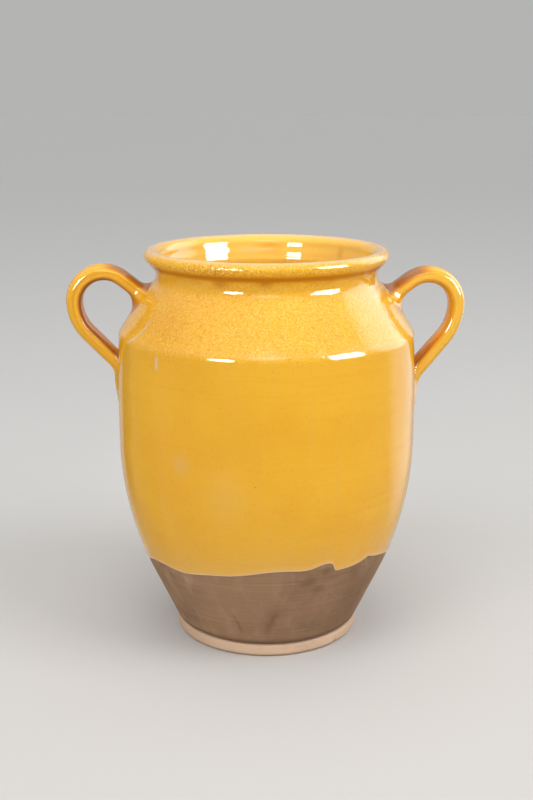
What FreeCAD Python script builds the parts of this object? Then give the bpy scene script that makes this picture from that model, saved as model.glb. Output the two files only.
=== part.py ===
import FreeCAD, Part
import math
import os
import Sketcher
from FreeCAD import Vector

# A glazed two-handled confit pot: a thrown body and two pulled strap handles.
# Millimetres. Origin in the middle of the foot, +Z up, handles along X, left handle at -X.

os.makedirs("parts", exist_ok=True)
doc = FreeCAD.newDocument("ConfitPot")
sheet = doc.addObject("Spreadsheet::Sheet", "Sizes")

SIZES = [
    ("pot_height", 260.0, "foot to the crest of the lip"),
    ("clay_wall", 6.0, "thickness of the wall at the shoulder and neck"),
    ("belly_wall", 7.2, "thickness of the wall at the belly and below"),
    ("foot_radius", 61.3, "bead round the foot"),
    ("foot_height", 8.6, "top of the foot bead"),
    ("foot_edge", 2.8, "round where the bead meets the table"),
    ("bead_top_round", 1.2, "round on top of the bead"),
    ("undercut_height", 1.6, "turned groove above the bead"),
    ("recess_radius", 54.0, "hollow under the foot, at the table"),
    ("recess_depth", 3.0, "hollow under the foot"),
    ("recess_draft", 1.5, "how far the side of the hollow leans in"),
    ("floor_top", 10.0, "inner floor above the table"),
    ("floor_corner", 14.0, "round between floor and wall, inside"),
    ("belly_radius", 98.6, "upright wall, outside"),
    ("belly_height", 134.8, "where the wall becomes upright"),
    ("belly_curve", 213.0, "radius of the belly's long curve"),
    ("lower_slope", 25.0, "degrees from upright of the lower cone"),
    ("taper_length", 35.0, "top of the wall, which leans in a little"),
    ("shoulder_radius", 97.4, "wall under the shoulder edge, outside"),
    ("shoulder_drop", 56.7, "start of the shoulder edge below the crest"),
    ("shoulder_edge", 9.0, "round of the shoulder edge, outside"),
    ("shoulder_slope", 32.0, "degrees from upright of the shoulder, next to its edge"),
    ("shoulder_dome", 0.75, "how far the shoulder swells out between its edge and the neck"),
    ("neck_slope", 41.0, "degrees from upright of the shoulder, next to the neck"),
    ("neck_radius", 72.3, "narrowest place, outside"),
    ("neck_drop", 17.0, "narrowest place below the crest"),
    ("neck_round", 8.0, "hollow of the neck, outside"),
    ("throat_length", 4.0, "straight stretch of the throat"),
    ("mouth_round", 14.5, "flare of the mouth, from the throat to the lip"),
    ("crest_radius", 75.4, "highest line of the lip"),
    ("lip_round", 4.2, "section of the rolled lip"),
    ("lip_under", 45.0, "degrees below level where the roll ends, outside"),
    ("lip_inside", 32.0, "degrees past the crest where the roll ends, inside"),
    ("dip_height", 59.0, "dip line of the glaze, on the axis"),
    ("dip_tilt", 4.6, "degrees by which the dip line leans"),
    ("dip_turn", -77.5, "degrees round the axis to its high side"),
    ("glaze_step", 0.4, "how far the glaze stands proud of the bare wall below it"),
    ("strap_thickness", 10.8, "strap, in the plane of the loop"),
    ("strap_width", 18.0, "strap, across the loop"),
    ("root_thickness", 19.0, "flared upper root, in the plane of the loop"),
    ("root_width", 30.0, "flared upper root, across the loop"),
    ("root_flare", 17.0, "length over which the upper root flares"),
    ("root_sag", 3.3, "middle of the flared root under the strap's centre line"),
    ("root_length", 26.0, "straight upper arm, with its end inside the wall"),
    ("tail_thickness", 5.6, "thumbed tail at its tip"),
    ("tail_width", 24.0, "thumbed tail at its tip"),
    ("tail_length", 22.0, "straight tail on the wall"),
    ("tail_inset", 3.2, "centre line of the tail inside the wall's face, where the tail starts"),
    ("left_reach", 125.4, "furthest point of the left centre line"),
    ("left_drop", 34.5, "that point below the crest"),
    ("left_crown", 19.4, "radius of the left crown"),
    ("left_side", 30.0, "radius below the left crown"),
    ("left_rise", 38.0, "degrees above level of the left upper arm"),
    ("left_fall", 44.0, "degrees from upright of the left lower arm"),
    ("left_bend", 17.0, "reverse bend onto the wall, left"),
    ("right_reach", 125.6, "furthest point of the right centre line"),
    ("right_drop", 37.5, "that point below the crest"),
    ("right_crown", 19.4, "radius of the right crown"),
    ("right_side", 36.0, "radius below the right crown"),
    ("right_rise", 36.5, "degrees above level of the right upper arm"),
    ("right_fall", 40.0, "degrees from upright of the right lower arm"),
    ("right_bend", 22.0, "reverse bend onto the wall, right"),
]

# How many short flats stand for each round of the turned sections
FLAT_COUNTS = {
    "foot_edge": 2,
    "bead_top": 1,
    "belly": 3,
    "shoulder_edge": 2,
    "shoulder": 3,
    "neck": 3,
    "lip": 4,
    "floor_corner": 2,
    "inner_belly": 2,
    "inner_edge": 1,
    "throat": 2,
    "mouth": 3,
    "lip_inside": 1,
    "bare_band": 1,
}

for row, (alias, value, note) in enumerate(SIZES, start=1):
    sheet.set(f"A{row}", note)
    sheet.set(f"B{row}", str(value))
    sheet.setAlias(f"B{row}", alias)
doc.recompute()


def size(alias):
    """A driving dimension, read from the sheet."""
    return float(sheet.get(alias))


def measure(text):
    """The number that an expression on the sheet gives."""
    return float(sheet.evalExpression(text))


def turned_round(name, centre_r, centre_h, radius, start, end):
    """Corners of a round turned as short flats, between two angles about its centre."""
    flats = FLAT_COUNTS[name]
    corners = []
    for k in range(flats + 1):
        angle = f"({start} + ({end} - {start}) * {k} / {flats})"
        corners.append((f"{name}_{k}", f"({centre_r} + {radius} * cos({angle}))",
                        f"({centre_h} + {radius} * sin({angle}))"))
    return corners


def domed(name, foot, top, rise):
    """Corners between a lower and an upper corner of a face that swells outwards in the middle."""
    (_, foot_r, foot_h), (_, top_r, top_h) = foot, top
    run = f"sqrt(({top_r} - {foot_r}) ^ 2 + ({top_h} - {foot_h}) ^ 2)"
    corners = []
    for k in range(1, FLAT_COUNTS[name]):
        part = f"({k} / {FLAT_COUNTS[name]})"
        swell = f"(4 * {rise} * {part} * (1 - {part}) / {run})"
        corners.append((f"{name}_{k}",
                        f"({foot_r} + ({top_r} - {foot_r}) * {part} + ({top_h} - {foot_h}) * {swell})",
                        f"({foot_h} + ({top_h} - {foot_h}) * {part} - ({top_r} - {foot_r}) * {swell})"))
    return corners


def draw_section(body, name, corners):
    """A closed section in the upright XZ plane, with every corner held by two named constraints."""
    sketch = body.newObject("Sketcher::SketchObject", name)
    plane = [feature for feature in body.Origin.OriginFeatures if feature.Role == "XZ_Plane"][0]
    sketch.AttachmentSupport = (plane, [""])
    sketch.MapMode = "FlatFace"
    points = [Vector(measure(out), measure(up), 0) for _, out, up in corners]
    legs = [sketch.addGeometry(Part.LineSegment(start, end))
            for start, end in zip(points, points[1:] + points[:1])]
    for k, (corner, out, up) in enumerate(corners):
        sketch.addConstraint(Sketcher.Constraint("Coincident", legs[k - 1], 2, legs[k], 1))
        for kind, text, axis, way in (("DistanceX", out, -2, "out"), ("DistanceY", up, -1, "up")):
            if text == "0":
                sketch.addConstraint(Sketcher.Constraint("PointOnObject", legs[k], 1, axis))
                continue
            held = sketch.addConstraint(Sketcher.Constraint(kind, -1, 1, legs[k], 1, measure(text)))
            sketch.renameConstraint(held, f"{corner}_{way}")
            sketch.setExpression(f"Constraints.{corner}_{way}", text)
    return sketch


def turn(body, kind, name, corners):
    """Revolution or Groove of a section, all the way round the pot's axis."""
    sketch = draw_section(body, name + "Section", corners)
    feature = body.newObject("PartDesign::" + kind, name)
    feature.Profile = sketch
    feature.ReferenceAxis = (sketch, ["V_Axis"])
    feature.Angle = 360
    doc.recompute()
    return feature


# Places that several sections share, as expressions on the sheet
BELLY_R = "(Sizes.belly_radius - Sizes.belly_curve)"
GROOVE_TOP_H = "(Sizes.foot_height + Sizes.undercut_height)"
SHOULDER_R = "(Sizes.shoulder_radius - Sizes.shoulder_edge)"
SHOULDER_H = "(Sizes.pot_height - Sizes.shoulder_drop)"
TAPER_H = f"({SHOULDER_H} - Sizes.taper_length)"
NECK_R = "(Sizes.neck_radius + Sizes.neck_round)"
NECK_H = "(Sizes.pot_height - Sizes.neck_drop)"
LIP_H = "(Sizes.pot_height - Sizes.lip_round)"
NECK_ANGLE = "(180 + Sizes.neck_slope)"
THROAT_R = "(Sizes.neck_radius - Sizes.clay_wall)"


def cone_top(inset):
    """Where the lower cone runs into the belly's curve, on a face set in from the outside."""
    curve = f"(Sizes.belly_curve - {inset})"
    return (f"({BELLY_R} + {curve} * cos(Sizes.lower_slope))",
            f"(Sizes.belly_height - {curve} * sin(Sizes.lower_slope))")


def cone_radius(inset, height):
    """Radius of the lower cone at a height, on a face set in from the outside."""
    top_r, top_h = cone_top(inset)
    return f"({top_r} - ({top_h} - {height}) * tan(Sizes.lower_slope))"


def belly(name, inset):
    """The belly's curve from the cone up to the upright wall, on a face set in from the outside."""
    return turned_round(name, BELLY_R, "Sizes.belly_height", f"(Sizes.belly_curve - {inset})",
                        "(-Sizes.lower_slope)", "0")


# The thrown body: outside, hollow foot and inside
pot = doc.addObject("PartDesign::Body", "ThrownBody")

outside = [("axis_foot", "0", "0")]
outside += turned_round("foot_edge", "Sizes.foot_radius - Sizes.foot_edge", "Sizes.foot_edge",
                        "Sizes.foot_edge", "-90", "0")
outside += turned_round("bead_top", "Sizes.foot_radius - Sizes.bead_top_round",
                        "Sizes.foot_height - Sizes.bead_top_round", "Sizes.bead_top_round", "0", "90")
outside += [
    ("cone_foot", cone_radius("0", GROOVE_TOP_H), GROOVE_TOP_H),
    *belly("belly", "0"),
    ("taper_foot", "Sizes.belly_radius", TAPER_H),
]
edge = turned_round("shoulder_edge", SHOULDER_R, SHOULDER_H, "Sizes.shoulder_edge",
                    "0", "Sizes.shoulder_slope")
neck = turned_round("neck", NECK_R, NECK_H, "Sizes.neck_round", NECK_ANGLE, "(180 - Sizes.lip_under)")
outside += edge + domed("shoulder", edge[-1], neck[0], "Sizes.shoulder_dome") + neck
outside += turned_round("lip", "Sizes.crest_radius", LIP_H, "Sizes.lip_round", "(-Sizes.lip_under)", "90")
outside += [("axis_crest", "0", "Sizes.pot_height")]
outer_form = turn(pot, "Revolution", "OuterForm", outside)

foot_hollow = [
    ("axis_foot", "0", "0"),
    ("hollow_rim", "Sizes.recess_radius", "0"),
    ("hollow_top", "(Sizes.recess_radius - Sizes.recess_draft)", "Sizes.recess_depth"),
    ("axis_hollow", "0", "Sizes.recess_depth"),
]
turn(pot, "Groove", "FootHollow", foot_hollow)

# Inside, the wall and the shoulder are straight, and the mouth flares from a short throat to the lip's roll.
CORNER_H = "(Sizes.floor_top + Sizes.floor_corner)"
CORNER_R = f"({cone_radius('Sizes.belly_wall', CORNER_H)} - Sizes.floor_corner / cos(Sizes.lower_slope))"
inside = [("axis_floor", "0", "Sizes.floor_top")]
inside += turned_round("floor_corner", CORNER_R, CORNER_H, "Sizes.floor_corner",
                       "-90", "(-Sizes.lower_slope)")
inside += belly("inner_belly", "Sizes.belly_wall")
inside += [("inner_taper", "(Sizes.belly_radius - Sizes.belly_wall)", TAPER_H)]
inner_edge = turned_round("inner_edge", SHOULDER_R, SHOULDER_H, "(Sizes.shoulder_edge - Sizes.clay_wall)",
                          "0", "Sizes.shoulder_slope")
throat = turned_round("throat", NECK_R, NECK_H, "(Sizes.neck_round + Sizes.clay_wall)", NECK_ANGLE, "180")
inside += inner_edge + throat
inside += turned_round("mouth", f"({THROAT_R} + Sizes.mouth_round)", f"({NECK_H} + Sizes.throat_length)",
                       "Sizes.mouth_round", "180", "(90 + Sizes.lip_inside)")[:-1]
inside += turned_round("lip_inside", "Sizes.crest_radius", LIP_H, "Sizes.lip_round",
                       "(90 + Sizes.lip_inside)", "90")
inside += [
    ("above_crest", "Sizes.crest_radius", "(Sizes.pot_height + Sizes.lip_round)"),
    ("axis_above", "0", "(Sizes.pot_height + Sizes.lip_round)"),
]
turn(pot, "Groove", "Inside", inside)

# Below the dip line the wall is bare of glaze and lies a little further in.
bare_band = doc.addObject("PartDesign::Body", "BareBand")
band = [("outer_foot", cone_radius("(-Sizes.glaze_step)", "Sizes.foot_height"), "Sizes.foot_height")]
band += belly("belly", "(-Sizes.glaze_step)")[:FLAT_COUNTS["bare_band"] + 1]
band += [("inner_" + corner, out, up)
         for corner, out, up in reversed(belly("belly", "Sizes.glaze_step")[:FLAT_COUNTS["bare_band"] + 1])]
band += [("inner_foot", cone_radius("Sizes.glaze_step", "Sizes.foot_height"), "Sizes.foot_height")]
turn(bare_band, "Revolution", "BareBandRing", band)

glazed_side = doc.addObject("Part::Cylinder", "GlazedSide")
glazed_side.setExpression("Radius", "2 * Sizes.belly_radius")
glazed_side.setExpression("Height", "Sizes.pot_height")
glazed_side.setExpression("Placement.Base.z", "Sizes.dip_height")
glazed_side.setExpression("Placement.Rotation.Axis.x", "sin(Sizes.dip_turn)")
glazed_side.setExpression("Placement.Rotation.Axis.y", "-cos(Sizes.dip_turn)")
glazed_side.setExpression("Placement.Rotation.Axis.z", "0")
glazed_side.setExpression("Placement.Rotation.Angle", "Sizes.dip_tilt")


def cut(label, base, tool):
    """Base with the tool's shape taken away."""
    result = doc.addObject("Part::Cut", label)
    result.Label = label
    result.Base = base
    result.Tool = tool
    return result


pot_body = cut("pot_body", pot, cut("BareZone", bare_band, glazed_side))

# The pulled handles
STATION_COUNTS = {"around": 16, "root": 5, "tail": 3}
BEND_STEP = 15.0
SEAT_ROUNDS = 6
OUTER_FULLNESS = 2.3
INNER_FULLNESS = 3.4
FLATNESS = 1e-6


def bend(place, radius, turn_degrees):
    """Stations round a bend, after a place (out, up, heading); a positive turn is to the left."""
    out, up, heading = place
    side = math.copysign(1, turn_degrees)
    centre = (out - side * radius * math.sin(heading), up + side * radius * math.cos(heading))
    steps = math.ceil(abs(turn_degrees) / BEND_STEP)
    stations = []
    for k in range(1, steps + 1):
        there = heading + math.radians(turn_degrees) * k / steps
        stations.append((centre[0] + side * radius * math.sin(there),
                         centre[1] - side * radius * math.cos(there), there))
    return stations


def ahead(place, length):
    """The place a length further on along its own heading."""
    out, up, heading = place
    return (out + length * math.cos(heading), up + length * math.sin(heading), heading)


def wall_radius(height):
    """Outside radius of the upright wall, which leans in towards the shoulder."""
    leaning = max(0.0, height - measure(TAPER_H)) / size("taper_length")
    return size("belly_radius") + (size("shoulder_radius") - size("belly_radius")) * leaning


def lower_arm_length(side, place):
    """How far the straight lower arm runs, so that the tail after it is set into the wall."""
    out, up, _ = place
    fall, radius = math.radians(size(side + "_fall")), size(side + "_bend")
    length = 0.0
    for _ in range(SEAT_ROUNDS):
        tail_top = up - length * math.cos(fall) - radius * math.sin(fall)
        tail_out = wall_radius(tail_top) - size("tail_inset")
        length = (out - radius * (1 - math.cos(fall)) - tail_out) / math.sin(fall)
    return length


def strap_stations(side):
    """The centre line from inside the shoulder to the tail: (place, thickness, width)."""
    thickness, width = size("strap_thickness"), size("strap_width")
    crown, rise, fall = size(side + "_crown"), size(side + "_rise"), size(side + "_fall")
    heading = math.radians(rise)
    crown_out = size(side + "_reach") - crown
    crown_up = size("pot_height") - size(side + "_drop")
    crown_start = (crown_out - crown * math.sin(heading), crown_up + crown * math.cos(heading), heading)
    stations = []
    for k in range(STATION_COUNTS["root"], 0, -1):
        back = size("root_length") * k / STATION_COUNTS["root"]
        flare = min(1.0, back / size("root_flare")) ** 2
        out, up, _ = ahead(crown_start, -back)
        sag = size("root_sag") * flare
        stations.append(((out + sag * math.sin(heading), up - sag * math.cos(heading), heading),
                         thickness + (size("root_thickness") - thickness) * flare,
                         width + (size("root_width") - width) * flare))
    path = [crown_start]
    path += bend(path[-1], crown, -(90 + rise))
    path += bend(path[-1], size(side + "_side"), -fall)
    path.append(ahead(path[-1], lower_arm_length(side, path[-1])))
    path += bend(path[-1], size(side + "_bend"), fall)
    stations += [(place, thickness, width) for place in path]
    for k in range(1, STATION_COUNTS["tail"] + 1):
        part = k / STATION_COUNTS["tail"]
        stations.append((ahead(path[-1], size("tail_length") * part),
                         thickness + (size("tail_thickness") - thickness) * part,
                         width + (size("tail_width") - width) * part))
    return stations


def strap_section(place, thickness, width, mirror):
    """Closed section square to the centre line: full outer side, flatter side to the palm."""
    out, up, heading = place
    corners = []
    for k in range(STATION_COUNTS["around"]):
        angle = 2 * math.pi * (k + 0.5) / STATION_COUNTS["around"]
        across, through = math.cos(angle), math.sin(angle)
        power = 2 / (OUTER_FULLNESS if through > 0 else INNER_FULLNESS)
        across = width / 2 * math.copysign(abs(across) ** power, across)
        through = thickness / 2 * math.copysign(abs(through) ** power, through)
        corners.append(Vector(mirror * (out - through * math.sin(heading)), across,
                              up + through * math.cos(heading)))
    return corners


def flat_faces(*corners):
    """A flat face through the corners, or two where four corners don't lie in one plane."""
    if len(corners) == 4 and abs((corners[1] - corners[0]).cross(corners[2] - corners[0])
                                 .normalize().dot(corners[3] - corners[0])) > FLATNESS:
        return flat_faces(*corners[:3]) + flat_faces(corners[2], corners[3], corners[0])
    return [Part.Face(Part.makePolygon(list(corners) + [corners[0]]))]


def handle(side, mirror):
    """A strap with flat faces between its sections, seated on the outside of the pot."""
    sections = [strap_section(*station, mirror) for station in strap_stations(side)]
    faces = flat_faces(*sections[0]) + flat_faces(*sections[-1])
    for near, far in zip(sections, sections[1:]):
        for k in range(STATION_COUNTS["around"]):
            following = (k + 1) % STATION_COUNTS["around"]
            faces += flat_faces(near[k], near[following], far[following], far[k])
    strap = doc.addObject("Part::Feature", side + "Strap")
    strap.Shape = Part.Solid(Part.Shell(faces))
    return cut(side + "_handle", strap, outer_form)


left_handle = handle("left", -1)
right_handle = handle("right", 1)
doc.recompute()

# Every object is checked before a file is written
pieces = [pot_body, left_handle, right_handle]
for part in doc.Objects:
    if "Invalid" in part.State or "Error" in part.State:
        raise RuntimeError(f"{part.Name} failed: {part.State}")
for piece in pieces:
    if piece.Shape.isNull() or not piece.Shape.isValid() or len(piece.Shape.Solids) != 1:
        raise RuntimeError(f"{piece.Label} isn't one valid solid")

for piece in pieces:
    piece.Shape.exportStep(f"parts/{piece.Label}.step")
    box = piece.Shape.BoundBox
    print(f"{piece.Label}: {piece.Shape.Volume / 1000:.1f} cm3, X {box.XMin:.1f} to {box.XMax:.1f}, "
          f"Y {box.YMin:.1f} to {box.YMax:.1f}, Z {box.ZMin:.1f} to {box.ZMax:.1f}")
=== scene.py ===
import math

import bmesh
import bpy
import numpy as np
from mathutils import Euler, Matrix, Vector


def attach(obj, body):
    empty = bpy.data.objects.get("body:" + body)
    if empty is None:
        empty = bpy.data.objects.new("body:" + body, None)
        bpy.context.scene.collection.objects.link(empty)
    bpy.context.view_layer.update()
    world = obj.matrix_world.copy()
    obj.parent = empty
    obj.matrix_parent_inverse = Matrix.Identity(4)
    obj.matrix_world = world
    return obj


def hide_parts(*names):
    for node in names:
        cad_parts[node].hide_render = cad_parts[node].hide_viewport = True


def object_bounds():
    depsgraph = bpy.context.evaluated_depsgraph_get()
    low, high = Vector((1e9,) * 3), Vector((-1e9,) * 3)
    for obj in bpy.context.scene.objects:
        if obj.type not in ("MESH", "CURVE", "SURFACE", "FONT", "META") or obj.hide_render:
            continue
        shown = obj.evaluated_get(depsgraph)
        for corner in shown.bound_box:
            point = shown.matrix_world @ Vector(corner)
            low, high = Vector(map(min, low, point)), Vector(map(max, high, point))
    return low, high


bl_info = {
    "name": "Confit Pot",
    "version": (1, 0, 0),
    "blender": (4, 5, 0),
    "location": "View3D > Sidebar > Confit Pot",
    "description": "A glazed two-handled confit pot, thrown and dipped, with pulled strap handles",
    "category": "Object",
}

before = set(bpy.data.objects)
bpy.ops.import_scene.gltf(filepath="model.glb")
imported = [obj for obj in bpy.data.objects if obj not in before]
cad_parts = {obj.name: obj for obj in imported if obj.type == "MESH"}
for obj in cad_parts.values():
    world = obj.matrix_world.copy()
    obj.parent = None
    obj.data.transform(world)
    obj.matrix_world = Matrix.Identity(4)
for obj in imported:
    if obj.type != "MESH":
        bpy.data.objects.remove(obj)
CAD_LOW, CAD_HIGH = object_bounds()
MM = 0.001
TURN = 2 * math.pi
BODY = "root"


def length(name, default, description):
    """A size that a user can change, written here in millimetres."""
    return bpy.props.FloatProperty(name=name, description=description, default=default * MM,
                                   subtype="DISTANCE", unit="LENGTH", precision=4)


def degrees(name, default, description):
    """An angle that a user can change, written here in degrees."""
    return bpy.props.FloatProperty(name=name, description=description, default=math.radians(default),
                                   subtype="ANGLE", unit="ROTATION")


def number(name, default, description):
    """A plain number that a user can change."""
    return bpy.props.FloatProperty(name=name, description=description, default=default)


def colour(name, default, description):
    """A colour, as linear red, green and blue."""
    return bpy.props.FloatVectorProperty(name=name, description=description, default=default,
                                         subtype="COLOR", size=3, min=0.0, max=1.0)


class ThrownSizes(bpy.types.PropertyGroup):
    """Sizes of the thrown body."""
    height: length("Height", CAD_HIGH.z / MM, "Foot to the crest of the lip")
    wall: length("Wall", 6.0, "Thickness of the wall at the shoulder and neck")
    belly_wall: length("Belly wall", 7.2, "Thickness of the wall at the belly and below")
    waver: length("Waver", 0.12, "How far the thrown wall strays from a true round")
    ring_depth: length("Ring depth", 0.008, "Height of the throwing rings on the wall")
    foot_radius: length("Foot radius", 61.3, "Bead round the foot")
    foot_height: length("Foot height", 8.6, "Top of the foot bead")
    foot_edge: length("Foot edge", 2.8, "Round where the bead meets the table")
    bead_round: length("Bead round", 2.4, "Round on top of the bead")
    groove_depth: length("Groove depth", 1.7, "Turned groove above the bead")
    groove_height: length("Groove height", 1.6, "Turned groove above the bead")
    recess_radius: length("Recess radius", 54.0, "Hollow under the foot")
    recess_depth: length("Recess depth", 3.0, "Hollow under the foot")
    floor_top: length("Floor", 10.0, "Inner floor above the table")
    floor_corner: length("Floor corner", 14.0, "Round between floor and wall, inside")
    belly_radius: length("Belly radius", CAD_HIGH.y / MM, "Upright wall, outside")
    belly_height: length("Belly height", 134.8, "Where the wall becomes upright")
    belly_curve: length("Belly curve", 213.0, "Radius of the belly's long curve")
    lower_slope: degrees("Lower slope", 25.0, "Lean of the lower wall")
    taper_length: length("Taper length", 35.0, "Top of the wall, which leans in a little")
    shoulder_inset: length("Shoulder inset", 1.2, "How far the top of the wall leans in")
    shoulder_drop: length("Shoulder drop", 56.7, "Start of the shoulder edge below the crest")
    shoulder_edge: length("Shoulder edge", 9.0, "Round of the shoulder edge")
    shoulder_slope: degrees("Shoulder slope", 32.0, "Lean of the shoulder from upright, next to its edge")
    shoulder_dome: length("Shoulder dome", 0.75, "How far the shoulder swells out")
    neck_slope: degrees("Neck slope", 41.0, "Lean of the shoulder from upright, next to the neck")
    neck_radius: length("Neck radius", 72.3, "Narrowest place, outside")
    neck_drop: length("Neck drop", 17.0, "Narrowest place below the crest")
    neck_round: length("Neck round", 8.0, "Hollow of the neck")
    mouth_round: length("Mouth round", 8.0, "Bend from the throat into the flare of the mouth")
    mouth_ring: length("Mouth ring", 0.10, "Throwing ring in the flare of the mouth")
    mouth_ring_height: length("Mouth ring height", 7.4, "From one trough of that ring to the next")
    mouth_ring_drop: length("Mouth ring drop", 9.7, "That ring below the crest")
    lip_inner_round: length("Lip inner round", 6.5, "Roll of the lip, on the inside")
    crest_radius: length("Crest radius", 75.4, "Highest line of the lip")
    lip_round: length("Lip round", 4.2, "Section of the rolled lip")
    lip_under: degrees("Lip under", 45.0, "Where the roll ends, outside")


class GlazeSizes(bpy.types.PropertyGroup):
    """Sizes of the glaze coat and its dip line."""
    coat: length("Coat", 0.55, "Thickness of the glaze")
    roll: length("Roll", 0.35, "How far the coat's lower edge stands proud")
    roll_height: length("Roll height", 2.2, "Height of that edge")
    dip_height: length("Dip height", 60.5, "Dip line, on average")
    dip_tilt: length("Dip tilt", 6.0, "How far the line rises towards its high side")
    dip_turn: degrees("Dip turn", -75.0, "Heading of its high side")
    step_heading: number("Step heading", -64.0, "Degrees round to the step between two dips")


class StrapSizes(bpy.types.PropertyGroup):
    """Sizes that both handles share."""
    thickness: length("Thickness", 10.8, "Strap, in the plane of the loop")
    width: length("Width", 18.0, "Strap, across the loop")
    outer_fullness: number("Outer fullness", 2.3, "How square the outer side is")
    inner_fullness: number("Palm fullness", 2.9, "How square the palm side is")
    groove: length("Groove", 0.22, "Depth of the grooves drawn along the strap")
    top_fillet: length("Top fillet", 7.0, "Smeared clay above the upper root")
    side_fillet: length("Side fillet", 7.5, "Smeared clay beside the upper root")
    under_fillet: length("Under fillet", 11.0, "Smeared clay below the upper root")
    tail_length: length("Tail length", 24.0, "Thumbed tail on the wall")
    tail_thickness: length("Tail thickness", 4.6, "Tail at its tip")
    tail_width: length("Tail width", 22.0, "Tail at its tip")
    tail_inset: length("Tail inset", 3.2, "Centre line of the tail inside the wall's face")
    tail_fillet: length("Tail fillet", 2.4, "Smeared clay beside the tail")


def loop_group(name, reach, drop, side, bend, rise, fall):
    """The sizes of one handle's loop as a property group, from millimetres and degrees."""
    sizes = {
        "reach": length("Reach", reach, "Furthest point of the centre line"),
        "drop": length("Drop", drop, "That point below the crest"),
        "crown": length("Crown", 19.4, "Radius of the crown"),
        "side": length("Side", side, "Radius below the crown"),
        "bend": length("Bend", bend, "Reverse bend onto the wall"),
        "rise": degrees("Rise", rise, "Upper arm above level"),
        "fall": degrees("Fall", fall, "Lower arm from upright"),
        "sway": length("Sway", 0.5, "How far the pulled strap strays sideways"),
    }
    body = {"__doc__": "Sizes of one handle's loop.", "__annotations__": sizes}
    return type(name, (bpy.types.PropertyGroup,), body)


LeftLoop = loop_group("LeftLoop", reach=125.2, drop=34.5, side=30.0, bend=17.0, rise=38.0, fall=44.0)
RightLoop = loop_group("RightLoop", reach=125.55, drop=37.5, side=36.0, bend=22.0, rise=36.5, fall=40.0)


class Finishes(bpy.types.PropertyGroup):
    """Colours of the pot."""
    honey: colour("Honey", (0.87, 0.44, 0.012), "Glaze on the open wall")
    deep_honey: colour("Deep honey", (0.83, 0.39, 0.006), "Thicker patches of glaze")
    # Amber is also the painted shade under the lip and on the handles' palm side, corner, crotch and roots
    amber: colour("Amber", (0.58, 0.20, 0.003), "Glaze pooled in the hollows")
    # Thin glaze is also painted light in the throat and on the right handle, and part of the painted
    # highlights of the drip and the smeared clay
    thin_glaze: colour("Thin glaze", (0.74, 0.46, 0.20), "Glaze drawn thin over an edge")
    iron: colour("Iron", (0.20, 0.075, 0.012), "Specks that burn through the glaze")
    # Bare edge is also the painted highlight on the drip and along the smeared clay
    bare_edge: colour("Bare edge", (0.80, 0.60, 0.38), "Glaze so thin that the clay shows through")
    # Pale honey also paints the paler mouth and, as painted light, the paler right handle
    pale_honey: colour("Pale honey", (0.93, 0.58, 0.10), "Light freckles of the pebbled glaze")
    # Painted shade: the brown under the lip, in the handles' crotch, along the left palm's corner and on the
    # roots' tops
    shade_brown: colour("Shade_brown", (0.26, 0.11, 0.045), "Glaze burnt brown where it is thickest")
    # The wash's brown also paints shade on the left of the foot bead
    slip: colour("Slip", (0.345, 0.200, 0.108), "Brown wash on the bare wall")
    # Dark slip is also the painted shadow line in the groove above the bead
    slip_dark: colour("Dark slip", (0.190, 0.104, 0.055), "Thick streaks of the wash")
    slip_pale: colour("Pale slip", (0.47, 0.30, 0.185), "Wiped streaks of the wash")
    clay: colour("Clay", (0.71, 0.49, 0.33), "Bare clay of the foot")
    # Dark clay is also painted shade where the foot stands on the table
    clay_dark: colour("Dark clay", (0.44, 0.29, 0.19), "Grain of the bare clay")


class StageSettings(bpy.types.PropertyGroup):
    """The camera, the floor and the lamps."""
    camera_distance: length("Camera distance", 774.8, "Camera from the pot's axis, level")
    camera_height: length("Camera height", 356.9, "Camera above the floor")
    camera_pitch: degrees("Camera pitch", 14.42, "Camera below level")
    camera_turn: degrees("Camera turn", 2.6, "Camera round the pot towards the left handle")
    lens: number("Lens", 53.7, "Focal length for a 36 mm long side")
    floor: colour("Floor", (0.60, 0.585, 0.56), "Plain pale floor")
    air: colour("Air", (0.455, 0.455, 0.450), "Plain pale surroundings")
    air_light: colour("Air light", (0.95, 0.97, 1.0), "Light that the surroundings give")
    room: colour("Room", (0.98, 0.99, 1.0), "Room that the glaze mirrors")


GROUPS = {"thrown": ThrownSizes, "glaze": GlazeSizes, "strap": StrapSizes, "left_loop": LeftLoop,
          "right_loop": RightLoop, "finishes": Finishes, "stage_settings": StageSettings}


class Socket:
    """A shader value. Arithmetic on it adds Math nodes to its tree."""

    def __init__(self, finish, socket):
        self.finish = finish
        self.socket = socket

    def calculate(self, operation, first, second):
        return self.finish.node("ShaderNodeMath", {"operation": operation}, {0: first, 1: second})

    def __add__(self, other):
        return self.calculate("ADD", self, other)

    def __mul__(self, other):
        return self.calculate("MULTIPLY", self, other)

    def __sub__(self, other):
        return self.calculate("SUBTRACT", self, other)

    def __rsub__(self, other):
        return self.calculate("SUBTRACT", other, self)

    __radd__ = __add__
    __rmul__ = __mul__

    def above(self, low, high):
        """0 below low, 1 above high, and a smooth step between; low may be the larger."""
        if low > high:
            return 1 - self.above(high, low)
        sockets = {"Value": self, "From Min": low, "From Max": high}
        return self.finish.node("ShaderNodeMapRange", {"interpolation_type": "SMOOTHSTEP"}, sockets)


BUMP_STRENGTH = 0.6


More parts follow.
